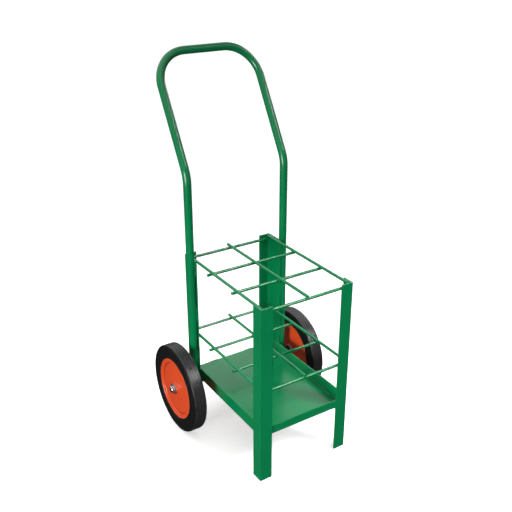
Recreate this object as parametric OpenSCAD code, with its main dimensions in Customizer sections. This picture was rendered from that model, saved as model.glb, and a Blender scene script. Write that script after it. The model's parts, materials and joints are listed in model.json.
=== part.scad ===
// Gas cylinder trolley: a welded basket of angle iron and round rod for six small
// cylinders, on two front legs and two wheels, with a bent tube handle at the rear.
// Millimetres. The front faces -Y, the handle is at +Y, +Z is up, the floor is z = 0.
// Left is -X and right is +X, as seen from the front.
// The origin lies on the floor under the middle of the overall box.

/* [Basket] */
// Outer width over the corner angles
basket_w = 278; // [240:1:320]
// Outer depth, from the front faces of the legs to the rear faces of the posts
basket_d = 386; // [340:1:440]
// Height of the top ends of the legs and posts above the floor
basket_top = 510; // [440:1:600]
// Height of the lower rod grid, where its two layers of rods touch
lower_grid_z = 274; // [230:1:340]

/* [Angle iron] */
// Flange width of the front legs, the side rails and the posts' rear flange
angle_w = 35; // [28:1:42]
// Thickness of the angle iron
angle_t = 4; // [3:0.5:5]
// Radius in the inner corner of the angle iron
root_r = 4; // [2:0.5:6]
// Radius on the heel of the angle iron
heel_r = 1; // [0.5:0.25:2]
// Radius on the toes of the angle iron
toe_r = 2; // [1:0.25:2.5]
// Flange width of the tray's front and rear rails
end_rail_w = 25; // [18:1:32]
// How far the posts' side flange reaches in front of the handle tube's centre
post_lap = 9; // [5:1:16]

/* [Tray] */
// Thickness of the deck sheet
deck_t = 2; // [1:0.5:4]
// Gap round the deck sheet and at the coped ends of the rails
deck_gap = 0.5; // [0.25:0.25:2]

/* [Rod grids] */
// Diameter of the round rods
rod_d = 8; // [6:0.5:10]
// How far a rod's free end stands past the centre of the rod that it crosses
rod_stub = 10; // [6:1:16]

/* [Handle] */
// Outside diameter of the handle tube
tube_d = 22; // [18:1:28]
// Wall of the handle tube
tube_wall = 2; // [1.5:0.25:3]
// Distance from the rear face of the basket forward to the tube's centre
tube_inset = 54; // [45:1:65]
// Height above the floor where the two straight runs of the tube would meet
bend_z = 748; // [700:1:860]
// Backward lean of the upper run, in degrees
lean = 30; // [15:1:40]
// Length of the leaning run, from its bend to the centre of the grip bar
lean_len = 331; // [270:1:390]
// Centreline radius of the bend above the basket
bend_r = 80; // [60:1:120]
// Centreline radius of the two corners of the grip
corner_r = 90; // [60:1:120]
// Gap in the saddle that is cut over the axle at each lower end
saddle_gap = 0.2; // [0.1:0.1:0.5]

/* [Axle] */
// Diameter of the axle
axle_d = 16; // [12:0.5:20]
// Length of the stop collars on the axle
collar_l = 15; // [8:1:24]
// Outside diameter of the stop collars
collar_d = 24; // [22:1:30]
// Gap between a handle tube and its stop collar
collar_gap = 1; // [0.5:0.5:4]
// Outside diameter of the flat washers
washer_d = 30; // [27:1:36]
// Thickness of the flat washers
washer_t = 1.6; // [1:0.2:3]
// Radial gap between a washer and the axle
washer_gap = 0.25; // [0.1:0.05:0.5]
// Depth of the axle's end in its cap
cap_grip = 5; // [3:0.5:8]
// Wall of the caps
cap_wall = 2; // [1:0.25:3]
// Height of the cap's dome past the axle's end
cap_dome = 3.5; // [2.5:0.5:7]
// Bevel on the axle's ends
axle_bevel = 1; // [0.5:0.25:2]

/* [Wheels] */
// Outside diameter of the tyres
wheel_d = 256; // [220:2:290]
// Width of the tyres
tyre_w = 36; // [32:1:44]
// Width of the flat running band
tread_w = 29; // [20:1:31]
// Height of the tyre from the rim's floor to the running band
tyre_h = 50.5; // [44:0.5:58]
// Inside width of the rim's channel
rim_w = 28.5; // [24:0.5:31]
// Depth of the rim's channel
rim_h = 8; // [6:0.5:12]
// Radius of the rim's rolled lip
lip_r = 2.5; // [2:0.25:4]
// Sheet thickness of the rims and discs
sheet_t = 1.6; // [1:0.1:2]
// Length of the flange that each disc turns into the rim
disc_flange = 6; // [3:0.5:8]
// Crown of a disc: how far it rises from its edge to its hub
disc_crown = 1.5; // [0:0.5:4]
// Bend radius at the edge of a disc
disc_bend = 5; // [3:0.5:7]
// Height of the neck that each disc turns up round its hub
disc_neck = 3; // [2:0.5:4]
// Outside diameter of the hub sleeves
hub_d = 28; // [26:1:34]
// Length of the hub, over the heads of its bushes
hub_l = 40; // [38:1:56]
// Wall of the hub sleeves
hub_wall = 3; // [2:0.25:3]
// Length of the bushes' barrels
bush_l = 15; // [8:1:17]
// Thickness of the bushes' heads
bush_head = 1.5; // [1:0.25:3]
// Radial running clearance between the bushes and the axle
bush_gap = 0.05; // [0.02:0.01:0.1]
// End play of each hub between its washers
hub_play = 0.4; // [0.2:0.1:1]

/* [Hidden] */
$fn = 64;

green = [0.03, 0.46, 0.24];
orange = [0.86, 0.28, 0.14];
rubber = [0.11, 0.12, 0.11];
black = [0.09, 0.10, 0.10];
zinc = [0.70, 0.71, 0.72];
chrome = [0.85, 0.86, 0.88];
nylon = [0.90, 0.89, 0.84];

// Overlap of a cutter past the face that it cuts
cut = 1;
// Cells from front to rear, between four cross rods
cells_deep = 3;

// Wheels and axle
axle_z = wheel_d / 2;
axle_y = basket_d - tube_inset;
axle_r = axle_d / 2;

// The tray's rails and the rear posts stand on the axle
tray_z = axle_z + axle_r;
deck_z = tray_z + angle_t;
corner_clear = angle_t + root_r;
deck_edge = angle_t + root_r + deck_gap;

// Rods lie against the inner faces of the angles
rod_inset = angle_t + rod_d / 2;
side_rod_x = basket_w / 2 - rod_inset;
cell_pitch = (basket_d - 2 * rod_inset) / cells_deep;
upper_long_z = basket_top - rod_d / 2;
upper_cross_z = upper_long_z - rod_d;
lower_long_z = lower_grid_z + rod_d / 2;
lower_cross_z = lower_grid_z - rod_d / 2;
function cross_y(row) = rod_inset + row * cell_pitch;

// Handle: two legs against the posts' outer faces, a bend and a leaning grip
tube_x = basket_w / 2 + tube_d / 2;
bend_reach = bend_r * tan(lean / 2);
leg_run = bend_z - bend_reach - axle_z;
lean_run = lean_len - bend_reach - corner_r;

// Places along the axle, from the middle outwards
collar_x = tube_x + tube_d / 2 + collar_gap;
inner_washer_x = collar_x + collar_l;
hub_x = inner_washer_x + washer_t + hub_play;
wheel_x = hub_x + hub_l / 2;
outer_washer_x = hub_x + hub_l + hub_play;
cap_x = outer_washer_x + washer_t;
axle_end_x = cap_x + cap_grip;

// Wheel radii
rim_seat_r = wheel_d / 2 - tyre_h;
rim_floor_r = rim_seat_r - sheet_t / 2;
rim_wall_x = rim_w / 2 + sheet_t / 2;
disc_edge_r = rim_floor_r - sheet_t;
disc_face_x = disc_flange + disc_bend + sheet_t;
bush_r = hub_d / 2 - hub_wall;

// The overall box runs from the legs' front faces to the grip bar
overall_d = max(axle_y + lean_len * sin(lean) + tube_d / 2, axle_y + wheel_d / 2);

// Points along an arc about c
function arc(c, r, from, to, steps = 6) =
    [for (i = [0 : steps]) c + r * [cos(from + (to - from) * i / steps), sin(from + (to - from) * i / steps)]];

function unit(v) = v / norm(v);
function turned(v) = [-v.y, v.x];
function heading(path, i) = unit(path[min(i + 1, len(path) - 1)] - path[max(i - 1, 0)]);

// Outline of a bent sheet of thickness t about a centreline
function sheet(path, t) = let (n = len(path) - 1) concat(
    [for (i = [0 : n]) path[i] + turned(heading(path, i)) * t / 2],
    [for (i = [n : -1 : 0]) path[i] - turned(heading(path, i)) * t / 2]);

// Puts y = 0 at the middle of the overall box
module place() translate([0, -overall_d / 2, 0]) children();

// Makes the right-hand piece (side = 1) or its mirror image (side = -1)
module handed(side) place() mirror([side < 0 ? 1 : 0, 0, 0]) children();

// Rolled angle section: heel at the origin, flanges w1 along +X and w2 along +Y
module angle_section(w1, w2) polygon(concat(
    arc([heel_r, heel_r], heel_r, 180, 270),
    [[w1, 0]], arc([w1 - toe_r, angle_t - toe_r], toe_r, 0, 90),
    arc([corner_clear, corner_clear], root_r, 270, 180),
    arc([angle_t - toe_r, w2 - toe_r], toe_r, 0, 90), [[0, w2]]));

module front_leg(side) color(green) handed(side)
    translate([basket_w / 2, 0, 0]) mirror([1, 0, 0])
        linear_extrude(basket_top) angle_section(angle_w, angle_w);

module rear_post(side) color(green) handed(side)
    translate([basket_w / 2, basket_d, tray_z]) rotate(180)
        linear_extrude(basket_top - tray_z) angle_section(angle_w, tube_inset + post_lap);

module side_rail(side) color(green) handed(side)
    translate([basket_w / 2 - angle_t, corner_clear, tray_z]) rotate([90, 0, 180])
        linear_extrude(basket_d - 2 * corner_clear) angle_section(angle_w, angle_w);

// Front or rear rail of the tray, heel along the X axis: its lying flange is coped to clear the side rails
module end_rail() {
    reach = basket_w / 2 - corner_clear;
    lying_reach = basket_w / 2 - angle_t - angle_w - deck_gap;
    difference() {
        translate([-reach, 0, 0]) rotate([90, 0, 90])
            linear_extrude(2 * reach) angle_section(end_rail_w, end_rail_w);
        for (side = [0, 1]) mirror([side, 0, 0]) translate([lying_reach, angle_t, -cut])
            cube([reach - lying_reach + cut, end_rail_w, end_rail_w + 2 * cut]);
    }
}

// The front rail stands up as a lip
module front_rail() color(green) place() translate([0, angle_t, tray_z]) end_rail();

// The rear rail hangs down, so the tray is open at the rear
module rear_rail() color(green) place()
    translate([0, basket_d - angle_t, deck_z]) rotate([180, 0, 0]) end_rail();

module tray_deck() {
    side_x = basket_w / 2 - angle_t - deck_edge;
    front_y = angle_t + deck_edge;
    rear_y = basket_d - angle_t - deck_gap;
    color(green) place() translate([-side_x, front_y, deck_z]) cube([2 * side_x, rear_y - front_y, deck_t]);
}

module long_rod(x, y_from, y_to, z) color(green) place()
    translate([x, y_from, z]) rotate([-90, 0, 0]) cylinder(d = rod_d, h = y_to - y_from);

module side_rod(side, z) long_rod(side * side_rod_x, corner_clear, basket_d - corner_clear, z);

module middle_rod(z) long_rod(0, cross_y(0) - rod_d / 2, cross_y(cells_deep) + rod_stub, z);

module cross_rod(row, z) {
    inner = row > 0 && row < cells_deep;
    reach = inner ? side_rod_x + rod_stub : basket_w / 2 - corner_clear;
    color(green) place() translate([-reach, cross_y(row), z]) rotate([0, 90, 0])
        cylinder(d = rod_d, h = 2 * reach);
}

module tube_section() difference() {
    circle(d = tube_d);
    circle(d = tube_d - 2 * tube_wall);
}

module straight_tube(length) linear_extrude(length) tube_section();

module bent_tube(radius, angle) rotate_extrude(angle = angle) translate([radius, 0]) tube_section();

// The handle's two backward bends about the X axis, rising from z = 0
module bends() for (side = [-1, 1]) translate([side * tube_x, 0, 0]) rotate([90, 0, -90])
    bent_tube(bend_r, lean);

// Cutter for what lies past the middle of the bends, which is z = 0 here
module past_middle() translate([-tube_x - tube_d, -bend_r - tube_d, 0])
    cube([2 * (tube_x + tube_d), bend_r + tube_d, bend_r]);

// The handle's legs, up to the middle of their bends
module lower_half() difference() {
    rotate([lean / 2, 0, 0]) {
        for (side = [-1, 1]) translate([side * tube_x, -bend_r, -leg_run]) straight_tube(leg_run);
        bends();
    }
    past_middle();
}

// The leaning grip, from the middle of the bends
module upper_half() difference() {
    rotate([-lean / 2, 0, 0]) {
        for (side = [0, 1]) mirror([side, 0, 0]) {
            translate([tube_x, -bend_r, 0]) straight_tube(lean_run);
            translate([tube_x - corner_r, -bend_r, lean_run]) rotate([90, 0, 0]) bent_tube(corner_r, 90);
        }
        translate([corner_r - tube_x, -bend_r, lean_run + corner_r]) rotate([0, 90, 0])
            straight_tube(2 * (tube_x - corner_r));
        mirror([0, 0, 1]) bends();
    }
    mirror([0, 0, 1]) past_middle();
}

// One bent tube, its halves joined in the middle of the bends; each lower end is saddled over the axle
module handle_tube() color(green) place() difference() {
    translate([0, axle_y + bend_r, bend_z - bend_reach]) rotate([-lean / 2, 0, 0]) {
        lower_half();
        upper_half();
    }
    translate([-tube_x - tube_d, axle_y, axle_z]) rotate([0, 90, 0])
        cylinder(r = axle_r + saddle_gap, h = 2 * (tube_x + tube_d));
}

// Puts a turned piece on the axle: its own Z runs outwards from x along the axle
module on_axle(side, x) place() translate([side * x, axle_y, axle_z]) rotate([0, side * 90, 0]) children();

module axle() color(black) on_axle(1, -axle_end_x) rotate_extrude() polygon([
    [0, 0], [axle_r - axle_bevel, 0], [axle_r, axle_bevel],
    [axle_r, 2 * axle_end_x - axle_bevel], [axle_r - axle_bevel, 2 * axle_end_x], [0, 2 * axle_end_x]]);

module ring(inside_r, outside_r, length) difference() {
    cylinder(r = outside_r, h = length);
    translate([0, 0, -cut]) cylinder(r = inside_r, h = length + 2 * cut);
}

module collar(side) color(black) on_axle(side, collar_x) ring(axle_r, collar_d / 2, collar_l);

module washer(side, x) color(zinc) on_axle(side, x) ring(axle_r + washer_gap, washer_d / 2, washer_t);

// Domed cap driven onto the axle's end
module axle_cap(side) {
    cap_r = axle_r + cap_wall;
    color(chrome) on_axle(side, cap_x) rotate_extrude() polygon(concat(
        [[axle_r, 0], [cap_r, 0]],
        arc([cap_r - cap_dome, cap_grip], cap_dome, 0, 90, 8),
        [[0, cap_grip + cap_dome], [0, cap_grip], [axle_r, cap_grip]]));
}

// Solid tyre: a bead in the rim's channel, bulged sides, round shoulders, flat tread
function tyre_half() = let (
    w = tyre_w / 2,
    shoulder = (tyre_w - tread_w) / 2,
    bead = rim_w / 2,
    neck_r = rim_seat_r + rim_h + lip_r + sheet_t,
    bulge = w - bead) concat(
    arc([rim_seat_r + lip_r, bead - lip_r], lip_r, 180, 90),
    arc([neck_r + bulge, bead], bulge, 180, 90),
    arc([wheel_d / 2 - shoulder, w - shoulder], shoulder, 90, 0, 8));

module tyre(side) color(rubber) on_axle(side, wheel_x) rotate_extrude($fn = 128) polygon(concat(
    tyre_half(),
    [for (i = [len(tyre_half()) - 1 : -1 : 0]) [tyre_half()[i].x, -tyre_half()[i].y]]));

// Rolled rim: a channel with its two lips turned outwards
function rim_half() = concat(
    [[rim_floor_r, rim_wall_x - lip_r]],
    arc([rim_floor_r + lip_r, rim_wall_x - lip_r], lip_r, 180, 90),
    arc([rim_seat_r + rim_h, rim_wall_x + lip_r], lip_r, 270, 360));

module rim(side) color(orange) on_axle(side, wheel_x) rotate_extrude($fn = 128) polygon(sheet(concat(
    [for (i = [len(rim_half()) - 1 : -1 : 0]) [rim_half()[i].x, -rim_half()[i].y]],
    rim_half()), sheet_t));

// Pressed disc: a neck round the hub, a crowned web and a flange turned into the rim
function disc_path() = let (
    neck_r = hub_d / 2 + sheet_t / 2,
    web_x = disc_face_x + disc_crown) concat(
    [[neck_r, web_x + disc_neck]],
    arc([neck_r + sheet_t, web_x + sheet_t], sheet_t, 180, 270),
    arc([disc_edge_r - disc_bend, disc_face_x - disc_bend], disc_bend, 90, 0),
    [[disc_edge_r, disc_face_x - disc_bend - disc_flange]]);

module disc(side, face) color(orange) on_axle(side, wheel_x) mirror([0, 0, face < 0 ? 1 : 0])
    rotate_extrude($fn = 128) polygon(sheet(disc_path(), sheet_t));

module hub_sleeve(side) color(zinc) on_axle(side, hub_x + bush_head)
    ring(bush_r, hub_d / 2, hub_l - 2 * bush_head);

// Headed bush, its head against the end of the hub sleeve
module bush(side, face) color(nylon) on_axle(side, wheel_x) mirror([0, 0, face < 0 ? 1 : 0])
    translate([0, 0, hub_l / 2 - bush_head]) rotate_extrude() polygon([
        [axle_r + bush_gap, -bush_l], [bush_r, -bush_l], [bush_r, 0], [hub_d / 2, 0],
        [hub_d / 2, bush_head], [axle_r + bush_gap, bush_head]]);

handle_tube();
front_leg(-1);  // front_leg_left
front_leg(1);  // front_leg_right
rear_post(-1);  // rear_post_left
rear_post(1);  // rear_post_right
side_rail(-1);  // side_rail_left
side_rail(1);  // side_rail_right
front_rail();
rear_rail();
tray_deck();
side_rod(-1, upper_long_z);  // upper_rod_left
middle_rod(upper_long_z);  // upper_rod_middle
side_rod(1, upper_long_z);  // upper_rod_right
cross_rod(0, upper_cross_z);  // upper_cross_front
cross_rod(1, upper_cross_z);  // upper_cross_second
cross_rod(2, upper_cross_z);  // upper_cross_third
cross_rod(3, upper_cross_z);  // upper_cross_rear
side_rod(-1, lower_long_z);  // lower_rod_left
middle_rod(lower_long_z);  // lower_rod_middle
side_rod(1, lower_long_z);  // lower_rod_right
cross_rod(0, lower_cross_z);  // lower_cross_front
cross_rod(1, lower_cross_z);  // lower_cross_second
cross_rod(2, lower_cross_z);  // lower_cross_third
cross_rod(3, lower_cross_z);  // lower_cross_rear
axle();
collar(-1);  // collar_left
collar(1);  // collar_right
washer(-1, inner_washer_x);  // inner_washer_left
washer(1, inner_washer_x);  // inner_washer_right
washer(-1, outer_washer_x);  // outer_washer_left
washer(1, outer_washer_x);  // outer_washer_right
axle_cap(-1);  // axle_cap_left
axle_cap(1);  // axle_cap_right
tyre(-1);  // tyre_left
tyre(1);  // tyre_right
rim(-1);  // rim_left
rim(1);  // rim_right
disc(-1, 1);  // outer_disc_left
disc(1, 1);  // outer_disc_right
disc(-1, -1);  // inner_disc_left
disc(1, -1);  // inner_disc_right
hub_sleeve(-1);  // hub_sleeve_left
hub_sleeve(1);  // hub_sleeve_right
bush(-1, 1);  // outer_bush_left
bush(1, 1);  // outer_bush_right
bush(-1, -1);  // inner_bush_left
bush(1, -1);  // inner_bush_right
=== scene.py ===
# %% [markdown]
# # Dressing a gas cylinder trolley
# A welded steel trolley: a basket of angle iron and round rod on two legs and two wheels, with a
# bent tube handle. The solids come from CAD at their real size and are never moved. This lesson
# adds what CAD leaves out: the enamel, the rubber, the plated metal, the ribbed tyres and the weld
# beads that hold it all together.

# %% The fixed frame
import json
import math

import bmesh
import bpy
from mathutils import Matrix, Vector


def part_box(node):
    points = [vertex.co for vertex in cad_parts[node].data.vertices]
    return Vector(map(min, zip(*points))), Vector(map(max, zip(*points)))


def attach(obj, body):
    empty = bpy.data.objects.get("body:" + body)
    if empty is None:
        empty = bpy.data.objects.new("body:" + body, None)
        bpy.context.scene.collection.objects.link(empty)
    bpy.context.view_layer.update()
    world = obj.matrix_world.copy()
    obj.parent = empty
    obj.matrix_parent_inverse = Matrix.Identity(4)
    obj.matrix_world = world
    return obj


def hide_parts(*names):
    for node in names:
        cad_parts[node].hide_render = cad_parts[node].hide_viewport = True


MM = 0.001
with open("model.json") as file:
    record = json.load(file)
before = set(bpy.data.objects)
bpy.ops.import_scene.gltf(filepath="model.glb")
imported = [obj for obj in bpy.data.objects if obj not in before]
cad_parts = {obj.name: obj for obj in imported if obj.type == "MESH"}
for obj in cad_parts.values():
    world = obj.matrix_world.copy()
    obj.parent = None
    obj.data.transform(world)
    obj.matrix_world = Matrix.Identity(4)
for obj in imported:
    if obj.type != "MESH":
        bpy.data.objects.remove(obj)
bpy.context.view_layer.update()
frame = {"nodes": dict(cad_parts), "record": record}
nodes = frame["nodes"]

# %% [markdown]
# ## The camera
# The photograph was taken from the front left and from above the basket, with a normal lens. The
# camera could be placed by eye, but the straight edges of the basket give its place and its lens
# more closely, so those numbers are written here: where it stands, how far it looks down and how
# far it is turned.

# %% Camera at the photograph's angle
CAMERA_PLACE = (-0.9657, -1.5266, 1.3378)
LOOKS_DOWN = math.radians(24.36)
TURNED = math.radians(-32.57)
SENSOR_MM = 36
LENS_MM = 51.7

scene = bpy.context.scene
bpy.ops.object.select_all(action="DESELECT")
bpy.ops.object.camera_add(
    location=CAMERA_PLACE, rotation=(math.pi / 2 - LOOKS_DOWN, 0, TURNED))
camera = bpy.context.object
camera.data.sensor_width = SENSOR_MM
camera.data.lens = LENS_MM
scene.camera = camera
print("camera lens:", LENS_MM, "mm")

# %% [markdown]
# ## Colours and nodes
# Paint charts and photographs give colours as sRGB hex values, and Blender's shaders work with
# linear light. One function does that conversion, so every colour below is written as a hex value.
# A second function adds a node and sets or links its inputs, a third turns a pattern's size in
# millimetres into a texture scale, and a fourth starts a material from its shader's plain values.

# %% Helpers for materials
# A Mix node has sockets for numbers, vectors and colours: these are the numbers of its colour ones.
MIX_A, MIX_B, MIX_OUT = 6, 7, 2


def linear(hex_colour):
    """An sRGB hex colour as linear RGBA."""
    channels = [int(hex_colour[i:i + 2], 16) / 255 for i in (1, 3, 5)]
    return [c / 12.92 if c <= 0.04045 else ((c + 0.055) / 1.055) ** 2.4 for c in channels] + [1]


def add(tree, kind, inputs=None, **settings):
    """Adds a node. An input that is given a socket is linked to it, and any other value is set."""
    node = tree.nodes.new(kind)
    for name, value in settings.items():
        setattr(node, name, value)
    for name, value in (inputs or {}).items():
        if isinstance(value, bpy.types.NodeSocket):
            tree.links.new(value, node.inputs[name])
        else:
            node.inputs[name].default_value = value
    return node


def scale_for(size_mm):
    """The texture scale at which one feature is about this long, on coordinates in metres."""
    return 1000 / size_mm


def new_material(name, **sockets):
    """A material with its Principled shader's plain values set."""
    material = bpy.data.materials.new(name)
    material.use_nodes = True
    shader = material.node_tree.nodes["Principled BSDF"]
    for socket, value in sockets.items():
        shader.inputs[socket.replace("_", " ")].default_value = value
    return material, material.node_tree, shader


print("a green in linear light:", [round(c, 3) for c in linear("#037746")])

# %% [markdown]
# ## Gloss enamel on steel
# The frame is sprayed with green enamel and the wheels' pressed steel with orange. Sprayed enamel
# is smooth but not flat: it dries with a faint orange peel, its colour drifts a little with its
# thickness, handling dulls it in patches, and it wears thin along the sharp edges of the steel. On
# the orange that pale edge is made strong: there it is partly wear and partly a painted highlight
# along the rim's lip. A plain glossy colour would look like plastic, so each of those is one small
# pattern, at its real size, on top of a typical enamel.

# %% Enamel
DRIFT_MM = 90
EDGE_PATCH_MM = 14
HANDLING_MM = 40
# Real orange peel is about 2 mm from crest to crest: 6 mm is as fine as shows from here.
PEEL_MM = 6
PEEL_HEIGHT = 0.4 * MM
EDGE_RADIUS = 1.2 * MM
ENAMEL_ROUGHNESS = 0.2
# A small change, because a gloss that crosses a roughness of 0.27 came out with specks.
HANDLING_DULLS = 0.06


def enamel(name, colour, deep, wear_and_highlight_colour, wear_and_highlight_share):
    """Sprayed enamel: IOR 1.5, no metal; a deep clear colour under a soft, wavy gloss."""
    material, tree, shader = new_material(name, IOR=1.5)
    place = add(tree, "ShaderNodeTexCoord").outputs["Object"]

    drift = add(tree, "ShaderNodeTexNoise", {
        "Vector": place, "Scale": scale_for(DRIFT_MM), "Detail": 3})
    body = add(tree, "ShaderNodeMix", {
        "Factor": drift.outputs["Fac"], MIX_A: linear(deep), MIX_B: linear(colour)},
        data_type="RGBA")

    # Where a rounded edge's normal leaves the flat face's own, the steel has an edge to wear. The
    # pale colour laid there is wear, and on the orange it is also a painted highlight along the
    # rim's lip.
    rounded = add(tree, "ShaderNodeBevel", {"Radius": EDGE_RADIUS}, samples=6)
    flat = add(tree, "ShaderNodeNewGeometry")
    agree = add(tree, "ShaderNodeVectorMath", {
        0: rounded.outputs["Normal"], 1: flat.outputs["Normal"]}, operation="DOT_PRODUCT")
    edge = add(tree, "ShaderNodeMapRange", {
        "Value": agree.outputs["Value"], "From Min": 0.98, "From Max": 0.75,
        "To Max": wear_and_highlight_share})
    edge_patch_noise = add(tree, "ShaderNodeTexNoise", {
        "Vector": place, "Scale": scale_for(EDGE_PATCH_MM), "Detail": 4})
    edge_patches = add(tree, "ShaderNodeMapRange", {
        "Value": edge_patch_noise.outputs["Fac"], "From Min": 0.45, "From Max": 0.62})
    wear_and_highlight = add(tree, "ShaderNodeMath", {
        0: edge.outputs["Result"], 1: edge_patches.outputs["Result"]}, operation="MULTIPLY")
    # Pale edges: wear, and on the orange also a painted highlight.
    worn_and_lit = add(tree, "ShaderNodeMix", {
        "Factor": wear_and_highlight.outputs["Value"], MIX_A: body.outputs[MIX_OUT], MIX_B: linear(wear_and_highlight_colour)},
        data_type="RGBA")
    tree.links.new(worn_and_lit.outputs[MIX_OUT], shader.inputs["Base Color"])

    handling = add(tree, "ShaderNodeTexNoise", {
        "Vector": place, "Scale": scale_for(HANDLING_MM), "Detail": 5})
    gloss = add(tree, "ShaderNodeMapRange", {
        "Value": handling.outputs["Fac"], "From Min": 0.3, "From Max": 0.7,
        "To Min": ENAMEL_ROUGHNESS - HANDLING_DULLS, "To Max": ENAMEL_ROUGHNESS + HANDLING_DULLS})
    tree.links.new(gloss.outputs["Result"], shader.inputs["Roughness"])

    peel = add(tree, "ShaderNodeTexNoise", {
        "Vector": place, "Scale": scale_for(PEEL_MM), "Detail": 2})
    relief = add(tree, "ShaderNodeBump", {
        "Height": peel.outputs["Fac"], "Strength": 0.12, "Distance": PEEL_HEIGHT,
        "Normal": rounded.outputs["Normal"]})
    tree.links.new(relief.outputs["Normal"], shader.inputs["Normal"])
    return material


green_enamel = enamel(
    "green_enamel", colour="#037746", deep="#026A3C", wear_and_highlight_colour="#2F8C62", wear_and_highlight_share=0.4)
# The orange's strong pale edge is partly wear and partly a painted highlight on the rim's lip.
orange_enamel = enamel(
    "orange_enamel", colour="#CF4A23", deep="#C2401B", wear_and_highlight_colour="#EE9A74", wear_and_highlight_share=0.9)
print("enamels:", green_enamel.name, orange_enamel.name)

# %% [markdown]
# ## Rubber
# The tyres are moulded rubber, coloured with carbon black. Moulding leaves the sides with a satin
# skin, and the running band is scuffed grey by the floor. The scuffing follows the distance from
# the axle, so the pattern is centred on the wheel by a Mapping node and turns with it.

# %% Moulded rubber
AXLE_LOW, AXLE_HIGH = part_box("axle")
AXLE_Y = (AXLE_LOW.y + AXLE_HIGH.y) / 2
AXLE_Z = (AXLE_LOW.z + AXLE_HIGH.z) / 2
AXLE_R = (AXLE_HIGH.z - AXLE_LOW.z) / 2
WHEEL_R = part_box("tyre_left")[1].z - AXLE_Z
SCUFF_MM = 9
SCUFF_REACH = 3 * MM
SCUFF_HEIGHT = 0.3 * MM


def moulded_rubber(name):
    """Carbon black rubber: IOR 1.52, a broad sheen; grey where the floor has scuffed it."""
    material, tree, shader = new_material(name, IOR=1.52, Specular_IOR_Level=0.32)
    place = add(tree, "ShaderNodeTexCoord").outputs["Object"]
    on_wheel = add(tree, "ShaderNodeMapping", {
        "Vector": place, "Location": (0, -AXLE_Y, -AXLE_Z), "Scale": (0, 1, 1)})
    from_axle = add(tree, "ShaderNodeVectorMath", {
        0: on_wheel.outputs["Vector"]}, operation="LENGTH")
    band = add(tree, "ShaderNodeMapRange", {
        "Value": from_axle.outputs["Value"], "From Min": WHEEL_R - SCUFF_REACH,
        "From Max": WHEEL_R})
    grit = add(tree, "ShaderNodeTexNoise", {
        "Vector": place, "Scale": scale_for(SCUFF_MM), "Detail": 6})
    scuff = add(tree, "ShaderNodeMath", {
        0: band.outputs["Result"], 1: grit.outputs["Fac"]}, operation="MULTIPLY")
    colour = add(tree, "ShaderNodeMix", {
        "Factor": scuff.outputs["Value"], MIX_A: linear("#090909"), MIX_B: linear("#343336")},
        data_type="RGBA")
    tree.links.new(colour.outputs[MIX_OUT], shader.inputs["Base Color"])
    skin = add(tree, "ShaderNodeMapRange", {
        "Value": grit.outputs["Fac"], "To Min": 0.28, "To Max": 0.46})
    tree.links.new(skin.outputs["Result"], shader.inputs["Roughness"])
    relief = add(tree, "ShaderNodeBump", {
        "Height": grit.outputs["Fac"], "Strength": 0.25, "Distance": SCUFF_HEIGHT})
    tree.links.new(relief.outputs["Normal"], shader.inputs["Normal"])
    return material


tyre_rubber = moulded_rubber("moulded_rubber")
print("rubber on a wheel of radius", round(WHEEL_R / MM), "mm")

# %% [markdown]
# ## Bare metal and nylon
# The axle and its stop collars are nearly black with a dull metal shine: partly as blackened steel
# and partly as painted shade, for where they sit in the shade under the rails.
# The washers and hub sleeves are zinc-plated, a soft grey metal with a cloudy spangle, and the caps
# are bright chrome, which only mirrors the room. The bushes are natural nylon, a milky plastic.

# %% Near-black steel with painted shade, zinc, chrome and nylon
HAZE_MM = 8
SCATTER = 1.5 * MM


def metal(name, colour, cloud, smooth, dull, cloud_mm):
    """Treated steel: metallic, its colour and gloss clouded at the size of the grain."""
    material, tree, shader = new_material(name, Metallic=1)
    place = add(tree, "ShaderNodeTexCoord").outputs["Object"]
    grain = add(tree, "ShaderNodeTexNoise", {
        "Vector": place, "Scale": scale_for(cloud_mm), "Detail": 4})
    tint = add(tree, "ShaderNodeMix", {
        "Factor": grain.outputs["Fac"], MIX_A: linear(colour), MIX_B: linear(cloud)},
        data_type="RGBA")
    tree.links.new(tint.outputs[MIX_OUT], shader.inputs["Base Color"])
    gloss = add(tree, "ShaderNodeMapRange", {
        "Value": grain.outputs["Fac"], "To Min": smooth, "To Max": dull})
    tree.links.new(gloss.outputs["Result"], shader.inputs["Roughness"])
    return material


def natural_nylon(name):
    """Moulded nylon: IOR 1.53, milky, with a little light scattered inside it."""
    material, tree, shader = new_material(
        name, IOR=1.53, Subsurface_Weight=0.15, Subsurface_Scale=SCATTER)
    place = add(tree, "ShaderNodeTexCoord").outputs["Object"]
    haze = add(tree, "ShaderNodeTexNoise", {
        "Vector": place, "Scale": scale_for(HAZE_MM), "Detail": 3})
    tint = add(tree, "ShaderNodeMix", {
        "Factor": haze.outputs["Fac"], MIX_A: linear("#E9E6DA"), MIX_B: linear("#DAD6C6")},
        data_type="RGBA")
    tree.links.new(tint.outputs[MIX_OUT], shader.inputs["Base Color"])
    gloss = add(tree, "ShaderNodeMapRange", {
        "Value": haze.outputs["Fac"], "To Min": 0.35, "To Max": 0.5})
    tree.links.new(gloss.outputs["Result"], shader.inputs["Roughness"])
    return material


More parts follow.
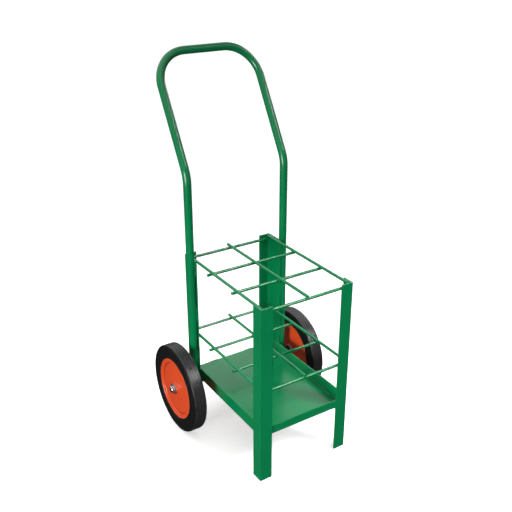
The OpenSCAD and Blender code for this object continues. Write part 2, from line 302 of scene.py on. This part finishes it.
finishes = {
    "green_enamel": green_enamel,
    "orange_enamel": orange_enamel,
    "tyre": tyre_rubber,
    # The axle's near black is partly blackened steel and partly painted shade under the rails.
    "black_steel": metal(
        "blackened_steel_and_shade", "#34373A", "#232527", smooth=0.3, dull=0.5, cloud_mm=7),
    "zinc": metal("zinc_plate", "#B9BBBD", "#96999C", smooth=0.28, dull=0.45, cloud_mm=6),
    "chrome": metal("bright_chrome", "#E6E8EB", "#D6D9DD", smooth=0.06, dull=0.14, cloud_mm=10),
    "nylon": natural_nylon("natural_nylon"),
}
for part in frame["record"]["subparts"]:
    slots = nodes[part["node"]].data.materials
    slots.clear()
    slots.append(finishes[part["material_slot"]])
print("finishes:", ", ".join(finishes))

# %% [markdown]
# ## The tyre's section
# A tyre is a turned shape, so it could start from a torus or a cylinder, but only its cross-section
# says what it is: a bead that sits in the rim's channel, sides with moulded rings, round shoulders
# and a running band with shallow grooves. Half of that section is listed here as points of (radius,
# distance from the middle), and the other half mirrors it. The rings and grooves are cut in, so the
# tyre stays as wide and as tall as its solid.

# %% Points of the section
TYRE_LOW, TYRE_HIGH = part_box("tyre_left")
TYRE_X = (TYRE_LOW.x + TYRE_HIGH.x) / 2
HALF_TYRE = (TYRE_HIGH.x - TYRE_LOW.x) / 2
LIP_R = (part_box("rim_left")[1].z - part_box("rim_left")[0].z) / 2
SEAT_DEPTH = 50.5 * MM
SEAT_R = WHEEL_R - SEAT_DEPTH
HALF_BEAD = 14.25 * MM
BEAD_CORNER = 2.5 * MM
SHOULDER = 3.5 * MM
LIP_GAP = 0.9 * MM
# One ring starts a little outside the rim's lip and one a little inside the running band. A ring is
# a shallow trough: each pair is a share of its width and a share of its depth.
RINGS = (LIP_R + 8 * MM, WHEEL_R - 9 * MM)
RING_W, RING_DEPTH = 1.6 * MM, 0.7 * MM
RING_TROUGH = ((0, 0), (0.25, 1), (0.75, 1), (1, 0))
# The first groove is mirrored to the other side and the second runs round the middle.
GROOVES = (8.5 * MM, 0)
GROOVE_W, GROOVE_DEPTH = 1.4 * MM, 1.0 * MM
GROOVE_TROUGH = ((0.5, 0), (0.25, 1), (-0.25, 1), (-0.5, 0))


def arc(radius, across, bend, start, end, steps=6):
    """Points on a round stretch about (radius, across), between two angles in degrees."""
    turns = [math.radians(start + (end - start) * i / steps) for i in range(steps + 1)]
    return [(radius + bend * math.cos(t), across + bend * math.sin(t)) for t in turns]


bulge = HALF_TYRE - HALF_BEAD
half_section = arc(SEAT_R + BEAD_CORNER, HALF_BEAD - BEAD_CORNER, BEAD_CORNER, 180, 90)
half_section += arc(LIP_R + LIP_GAP + bulge, HALF_BEAD, bulge, 180, 90)
for ring_r in RINGS:
    for r, depth in RING_TROUGH:
        half_section.append((ring_r + r * RING_W, HALF_TYRE - depth * RING_DEPTH))
half_section += arc(WHEEL_R - SHOULDER, HALF_TYRE - SHOULDER, SHOULDER, 90, 0)
for groove in GROOVES:
    for w, depth in GROOVE_TROUGH:
        # Of the middle groove, only this half's points are listed.
        if groove or w > 0:
            half_section.append((WHEEL_R - depth * GROOVE_DEPTH, groove + w * GROOVE_W))
section = half_section + [(r, -w) for r, w in reversed(half_section)]
print("tyre section:", len(section), "points")

# %% [markdown]
# ## Spinning the tyre
# The section is drawn as by hand: one vertex is extruded from point to point. Spin then turns it
# round the axle, the seam is merged and the normals are made to face outwards. The right tyre is a
# copy of the left.

# %% The left tyre, and a copy for the right
SPIN_STEPS = 120
MERGE_GAP = 0.01 * MM
SMOOTH_BELOW = math.radians(32)


def section_place(point):
    """Where a point of the section lies above the axle, in the left wheel."""
    return Vector((TYRE_X + point[1], AXLE_Y, AXLE_Z + point[0]))


bpy.ops.object.select_all(action="DESELECT")
bpy.ops.mesh.primitive_plane_add(size=MM)
tyre_left = bpy.context.object
tyre_left.name = "ribbed_tyre_left"
bpy.ops.object.mode_set(mode="EDIT")
bpy.ops.mesh.merge(type="CENTER")
bpy.ops.transform.translate(value=section_place(section[0]))
for before, after in zip(section, section[1:] + section[:1]):
    step = section_place(after) - section_place(before)
    bpy.ops.mesh.extrude_vertices_move(TRANSFORM_OT_translate={"value": step})
bpy.ops.mesh.select_all(action="SELECT")
bpy.ops.mesh.remove_doubles(threshold=MERGE_GAP)
bpy.ops.mesh.spin(
    steps=SPIN_STEPS, angle=2 * math.pi, center=(TYRE_X, AXLE_Y, AXLE_Z), axis=(1, 0, 0))
bpy.ops.mesh.select_all(action="SELECT")
bpy.ops.mesh.remove_doubles(threshold=MERGE_GAP)
bpy.ops.mesh.normals_make_consistent(inside=False)
bpy.ops.object.mode_set(mode="OBJECT")
bpy.ops.object.shade_smooth_by_angle(angle=SMOOTH_BELOW)
tyre_left.data.materials.append(tyre_rubber)

bpy.ops.object.duplicate()
tyre_right = bpy.context.object
tyre_right.name = "ribbed_tyre_right"
bpy.ops.transform.translate(value=(-2 * TYRE_X, 0, 0))
bpy.ops.object.transform_apply()

for side, tyre in (("left", tyre_left), ("right", tyre_right)):
    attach(tyre, "wheel_" + side)
    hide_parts("tyre_" + side)
print("tyre faces:", len(tyre_left.data.polygons))

# %% [markdown]
# ## One ripple of weld
# The frame is one weldment, and its seams are what a plain model lacks. A weld bead is a row of
# ripples, each a puddle of steel that froze behind the arc. Beads could be smooth tubes, but the
# ripples catch the light, so one ripple is made from a sphere: squashed to a puddle, with its two
# ends dragged back to a crescent.

# %% Ripple
RIPPLE_STEP = 2.6 * MM
BEAD_W = 7.4 * MM
BEAD_H = 2.8 * MM
DRAG = 1.6 * MM

bpy.ops.object.select_all(action="DESELECT")
bpy.ops.mesh.primitive_uv_sphere_add(segments=12, ring_count=8, radius=1)
ripple = bpy.context.object
ripple.name = "weld_ripple"
bpy.ops.object.mode_set(mode="EDIT")
bpy.ops.transform.resize(value=(RIPPLE_STEP, BEAD_W / 2, BEAD_H))
bpy.ops.mesh.select_all(action="DESELECT")
puddle = bmesh.from_edit_mesh(ripple.data)
for vertex in puddle.verts:
    vertex.select_set(abs(vertex.co.y) > BEAD_W / 4)
puddle.select_flush_mode()
bmesh.update_edit_mesh(ripple.data)
bpy.ops.transform.translate(value=(-DRAG, 0, 0))
bpy.ops.object.mode_set(mode="OBJECT")
print("ripple faces:", len(ripple.data.polygons))

# %% [markdown]
# ## Laying beads
# A bead is a copy of the ripple, repeated along its run by an Array modifier, then turned so that
# its crown faces out of the corner that it fills. The beads of one seam kind are joined, and a
# voxel remesh melts their ripples into one closed skin, as the arc did.

# %% Bead and seam helpers
MELT_VOXEL = 0.55 * MM


def bead(start, end, crown, size=1.0):
    """A bead from start to end, its crown turned to a direction; size scales its section."""
    run = Vector(end) - Vector(start)
    along = run.normalized()
    across = Vector(crown).cross(along).normalized()
    up = along.cross(across)
    bpy.ops.object.select_all(action="DESELECT")
    ripple.select_set(True)
    bpy.context.view_layer.objects.active = ripple
    bpy.ops.object.duplicate()
    piece = bpy.context.object
    bpy.ops.object.modifier_add(type="ARRAY")
    row = piece.modifiers[-1]
    row.use_relative_offset = False
    row.use_constant_offset = True
    row.constant_offset_displace = (RIPPLE_STEP, 0, 0)
    row.count = max(1, round(run.length / (RIPPLE_STEP * size)) + 1)
    bpy.ops.object.modifier_apply(modifier=row.name)
    turned = Matrix((along, across, up)).transposed().to_4x4()
    piece.matrix_world = Matrix.Translation(start) @ turned @ Matrix.Scale(size, 4)
    bpy.ops.object.transform_apply()
    return piece


def seam(name, beads):
    """Joins beads into one piece of the frame and melts their ripples together."""
    bpy.ops.object.select_all(action="DESELECT")
    for piece in beads:
        piece.select_set(True)
    bpy.context.view_layer.objects.active = beads[0]
    bpy.ops.object.join()
    joined = bpy.context.object
    joined.name = name
    bpy.ops.object.modifier_add(type="REMESH")
    melt = joined.modifiers[-1]
    melt.mode = "VOXEL"
    melt.voxel_size = MELT_VOXEL
    bpy.ops.object.modifier_apply(modifier=melt.name)
    bpy.ops.object.shade_smooth()
    joined.data.materials.clear()
    joined.data.materials.append(green_enamel)
    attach(joined, "frame")
    print(name + ":", len(beads), "beads,", len(joined.data.polygons), "faces")
    return joined


print("bead width in mm:", round(BEAD_W / MM, 1), "ripple step:", round(RIPPLE_STEP / MM, 1))

# %% [markdown]
# ## Seams of the tray
# The rails are welded where they run behind the toes of the legs and posts, the deck is stitched to
# its rails at intervals so that the sheet doesn't warp, and the axle is welded under the side
# rails.

# %% Tray seams
LEG_LOW, LEG_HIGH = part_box("front_leg_right")
POST_LOW, POST_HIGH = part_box("rear_post_right")
RAIL_LOW, RAIL_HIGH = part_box("side_rail_right")
FRONT_LOW, FRONT_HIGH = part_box("front_rail")
REAR_LOW, REAR_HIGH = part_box("rear_rail")
DECK_LOW, DECK_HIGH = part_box("tray_deck")
INSET = 2 * MM
STITCH = 22 * MM
STITCH_SIZE = 0.7
# Where stitches start along the side rails (y) and along the front and rear rails (x), in metres.
RAIL_STITCHES = (-0.2, -0.07, 0.06)
END_STITCHES = (-0.07, 0.05)
# How far from the axle's middle, to the front or rear and up, its beads lie against the rails.
AXLE_CORNER = 0.8 * AXLE_R

tray_beads = []
for side in (-1, 1):
    rail_x = side * RAIL_HIGH.x
    toe_x = side * LEG_LOW.x
    low, high = RAIL_LOW.z + INSET, RAIL_HIGH.z - INSET
    rear_start = (toe_x, REAR_HIGH.y, POST_LOW.z)
    tray_beads += [
        bead((rail_x, LEG_HIGH.y, low), (rail_x, LEG_HIGH.y, high), (side, 1, 0)),
        bead((rail_x, POST_LOW.y, low), (rail_x, POST_LOW.y, high), (side, -1, 0)),
        bead((toe_x, FRONT_LOW.y, low), (toe_x, FRONT_LOW.y, FRONT_HIGH.z - INSET), (-side, -1, 0)),
        bead(rear_start, (side * REAR_HIGH.x, *rear_start[1:]), (0, 1, -1)),
    ]
    for y in RAIL_STITCHES:
        start = (side * DECK_HIGH.x, y, DECK_HIGH.z)
        end = (start[0], y + STITCH, start[2])
        tray_beads.append(bead(start, end, (-side, 0, 2), STITCH_SIZE))
    for front in (-1, 1):
        start = (side * RAIL_LOW.x, AXLE_Y + front * AXLE_CORNER, AXLE_Z + AXLE_CORNER)
        tray_beads.append(bead(start, (rail_x, *start[1:]), (0, front, -1)))
for x in END_STITCHES:
    start = (x, DECK_LOW.y, DECK_HIGH.z)
    tray_beads.append(bead(start, (x + STITCH, *start[1:]), (0, 1, 2), STITCH_SIZE))
    start = (x, DECK_HIGH.y, DECK_HIGH.z - INSET / 2)
    tray_beads.append(bead(start, (x + STITCH, *start[1:]), (0, 2, 1), STITCH_SIZE))
tray_welds = seam("tray_welds", tray_beads)

# %% [markdown]
# ## Seams of the handle
# Each leg of the handle lies against the outer face of a post. It is stitched on both sides, in the
# narrow valley between the round tube and the flat flange, at three heights.

# %% Handle seams
TUBE_R = (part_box("handle_tube")[1].x - POST_HIGH.x) / 2
TUBE_X = POST_HIGH.x + TUBE_R
# How far in front of and behind the tube's middle its beads lie, as a share of its radius.
VALLEY = 0.62
LONG_STITCH = 38 * MM
LONG_STITCH_SIZE = 0.9
# Where the stitches start, in metres above the floor.
HANDLE_STITCHES = (0.19, 0.33, 0.468)

handle_beads = []
for side in (-1, 1):
    valley_x = side * (TUBE_X - TUBE_R * math.sqrt(1 - VALLEY ** 2) - INSET / 2)
    for front in (-1, 1):
        valley_y = AXLE_Y + front * VALLEY * TUBE_R
        for z in HANDLE_STITCHES:
            start = (valley_x, valley_y, z)
            end = (valley_x, valley_y, z + LONG_STITCH)
            handle_beads.append(bead(start, end, (side * 0.4, front, 0), LONG_STITCH_SIZE))
handle_welds = seam("handle_welds", handle_beads)

# %% [markdown]
# ## Seams of the rod grids
# The rods are tacked wherever they touch: along the flanges at their ends, and with a nugget in two
# opposite corners of every crossing. The cross rods lie under the long rods, so each nugget sits
# where the two meet.

# %% Rod seams
ROD_R = (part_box("upper_rod_left")[1].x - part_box("upper_rod_left")[0].x) / 2
ROWS = ("front", "second", "third", "rear")
END_TACK = 20 * MM
TACK_SIZE = 0.6
NUGGET = 3 * MM
NUGGET_SIZE = 0.55
# How far out of a crossing's middle, along both rods, a nugget lies.
NUGGET_CORNER = 0.8 * ROD_R

rod_beads = []
for level in ("upper", "lower"):
    long_low, long_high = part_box(level + "_rod_right")
    long_x = (long_low.x + long_high.x) / 2
    row_y = [sum(corner.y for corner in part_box(f"{level}_cross_{row}")) / 2 for row in ROWS]
    touch_z = long_low.z
    for side in (-1, 1):
        flange_x = side * (long_high.x - INSET / 2)
        for tip_y, inward in ((long_low.y, 1), (long_high.y, -1)):
            start = (flange_x, tip_y + inward * INSET, long_high.z - INSET / 2)
            end = (flange_x, tip_y + inward * END_TACK, start[2])
            rod_beads.append(bead(start, end, (-side, 0, 2), TACK_SIZE))
        for rod_y, outward in ((row_y[0], -1), (row_y[-1], 1)):
            flange_y = rod_y + outward * (ROD_R - INSET / 2)
            start = (side * (long_x - INSET), flange_y, touch_z - INSET / 2)
            end = (side * (long_x - END_TACK), *start[1:])
            rod_beads.append(bead(start, end, (0, -outward, 2), TACK_SIZE))
    crossings = [(0, y) for y in row_y]
    crossings += [(side * long_x, y) for side in (-1, 1) for y in row_y[1:-1]]
    for x, y in crossings:
        for corner in (-1, 1):
            spot = Vector((x + corner * NUGGET_CORNER, y + corner * NUGGET_CORNER, touch_z))
            half_run = Vector((NUGGET / 2, -NUGGET / 2, 0))
            crown = (corner, corner, 0)
            rod_beads.append(bead(spot - half_run, spot + half_run, crown, NUGGET_SIZE))
rod_welds = seam("rod_welds", rod_beads)

bpy.data.objects.remove(ripple)
print("weld pieces:", tray_welds.name, handle_welds.name, rod_welds.name)

# %% [markdown]
# ## Floor and backdrop
# A product picture of this kind is taken on a white sweep. Here that is a big pale floor and a
# white wall far round it. Gloss paint would mirror so much white and look washed out, and a
# photographer would hide it with black cards. In Blender it is simpler: the two are hidden from
# reflected and bounced light, so they are only what the camera sees, and the lamps and the world
# alone light the trolley.

# %% Pale floor and white wall
WALL_R = 38
WALL_H = 26
WALL_SIDES = 96
WALL_GLOW = 1.0
FLOOR_GLOW = 0.36
FLOOR_CLOUD_MM = 900

bpy.ops.object.select_all(action="DESELECT")
bpy.ops.mesh.primitive_plane_add(size=2 * WALL_R)
floor = bpy.context.object
floor.name = "floor"
floor_paint, floor_tree, floor_shader = new_material(
    "pale_floor", Roughness=0.8, Specular_IOR_Level=0.1,
    Emission_Color=linear("#FFFFFF"), Emission_Strength=FLOOR_GLOW)
floor_place = add(floor_tree, "ShaderNodeTexCoord").outputs["Object"]
floor_cloud = add(floor_tree, "ShaderNodeTexNoise", {
    "Vector": floor_place, "Scale": scale_for(FLOOR_CLOUD_MM)})
floor_tint = add(floor_tree, "ShaderNodeMix", {
    "Factor": floor_cloud.outputs["Fac"], MIX_A: linear("#F8F8F7"), MIX_B: linear("#F5F5F4")},
    data_type="RGBA")
floor_tree.links.new(floor_tint.outputs[MIX_OUT], floor_shader.inputs["Base Color"])
floor.data.materials.append(floor_paint)

bpy.ops.mesh.primitive_cylinder_add(
    vertices=WALL_SIDES, radius=WALL_R, depth=WALL_H, end_fill_type="NOTHING",
    location=(0, 0, WALL_H / 2))
wall = bpy.context.object
wall.name = "white_wall"
wall_paint, _, _ = new_material(
    "white_wall", Emission_Color=linear("#FFFFFF"), Emission_Strength=WALL_GLOW)
wall.data.materials.append(wall_paint)
wall.visible_shadow = False

for stage_piece in (floor, wall):
    stage_piece.visible_glossy = False
    stage_piece.visible_diffuse = False
print("floor and wall:", 2 * WALL_R, "m across")

# %% [markdown]
# ## Lamps
# One soft lamp low on the left lights the broad faces, and a smaller one from the front right,
# aimed down at the basket, draws bright lines on the rods. Both keep off the handle, whose tubes
# would mirror them. A third lamp behind on the right lights the sides that the photograph doesn't
# show. A broad overhead sun lights the floor and the deck.

# %% Soft lamps
SUN_STRENGTH = 0.85
SUN_SPREAD = math.radians(70)
SUN_TILT = (math.radians(12), math.radians(-14), 0)
# Name, place and aim in metres, size in metres, watts, and spread in degrees.
LAMPS = (
    ("key_lamp", (-2.9, -1.3, 0.7), (-0.05, -0.05, 0.15), 1.2, 21, 75),
    ("front_lamp", (1.15, -1.75, 2.3), (0.0, -0.2, 0.1), 0.8, 3.2, 30),
    ("rear_lamp", (2.5, 1.0, 1.8), (0.05, 0.0, 0.25), 1.2, 11.5, 75),
)

bpy.ops.object.light_add(type="SUN", rotation=SUN_TILT)
overhead = bpy.context.object
overhead.name = "overhead_lamp"
overhead.data.energy = SUN_STRENGTH
overhead.data.angle = SUN_SPREAD

for lamp_name, lamp_place, aim, lamp_size, watts, spread in LAMPS:
    bpy.ops.object.light_add(type="AREA", location=lamp_place)
    lamp = bpy.context.object
    lamp.name = lamp_name
    lamp.data.shape = "SQUARE"
    lamp.data.size = lamp_size
    lamp.data.energy = watts
    lamp.data.spread = math.radians(spread)
    lamp.rotation_euler = (Vector(aim) - lamp.location).to_track_quat("-Z", "Y").to_euler()

# %% [markdown]
# ## The room's light
# A dim world fills the shadows, brighter above than below. One even grey would leave the deck dull,
# so the world also glows behind the trolley and above the floor, where the deck mirrors it. The
# Standard view keeps the colours as their hex values say.

# %% World and colours
FILL_BELOW, FILL_ABOVE = 0.05, 0.24

world = scene.world or bpy.data.worlds.new("studio")
scene.world = world
world.use_nodes = True
room = world.node_tree
sky = room.nodes["Background"]
sky.inputs["Color"].default_value = linear("#FFFFFF")
direction = add(room, "ShaderNodeTexCoord").outputs["Generated"]
facing = add(room, "ShaderNodeSeparateXYZ", {"Vector": direction})
fill = add(room, "ShaderNodeMapRange", {
    "Value": facing.outputs["Z"], "From Min": -0.25, "From Max": 0.05,
    "To Min": FILL_BELOW, "To Max": FILL_ABOVE})
behind = add(room, "ShaderNodeMapRange", {
    "Value": facing.outputs["Y"], "From Min": 0.1, "From Max": 0.7})
above = add(room, "ShaderNodeMapRange", {
    "Value": facing.outputs["Z"], "From Min": 0.1, "From Max": 0.3})
strength = add(room, "ShaderNodeMath", {
    0: behind.outputs["Result"], 1: above.outputs["Result"], 2: fill.outputs["Result"]},
    operation="MULTIPLY_ADD")
room.links.new(strength.outputs["Value"], sky.inputs["Strength"])
scene.view_settings.view_transform = "Standard"
print("world light:", FILL_BELOW, "below to", FILL_ABOVE, "above")
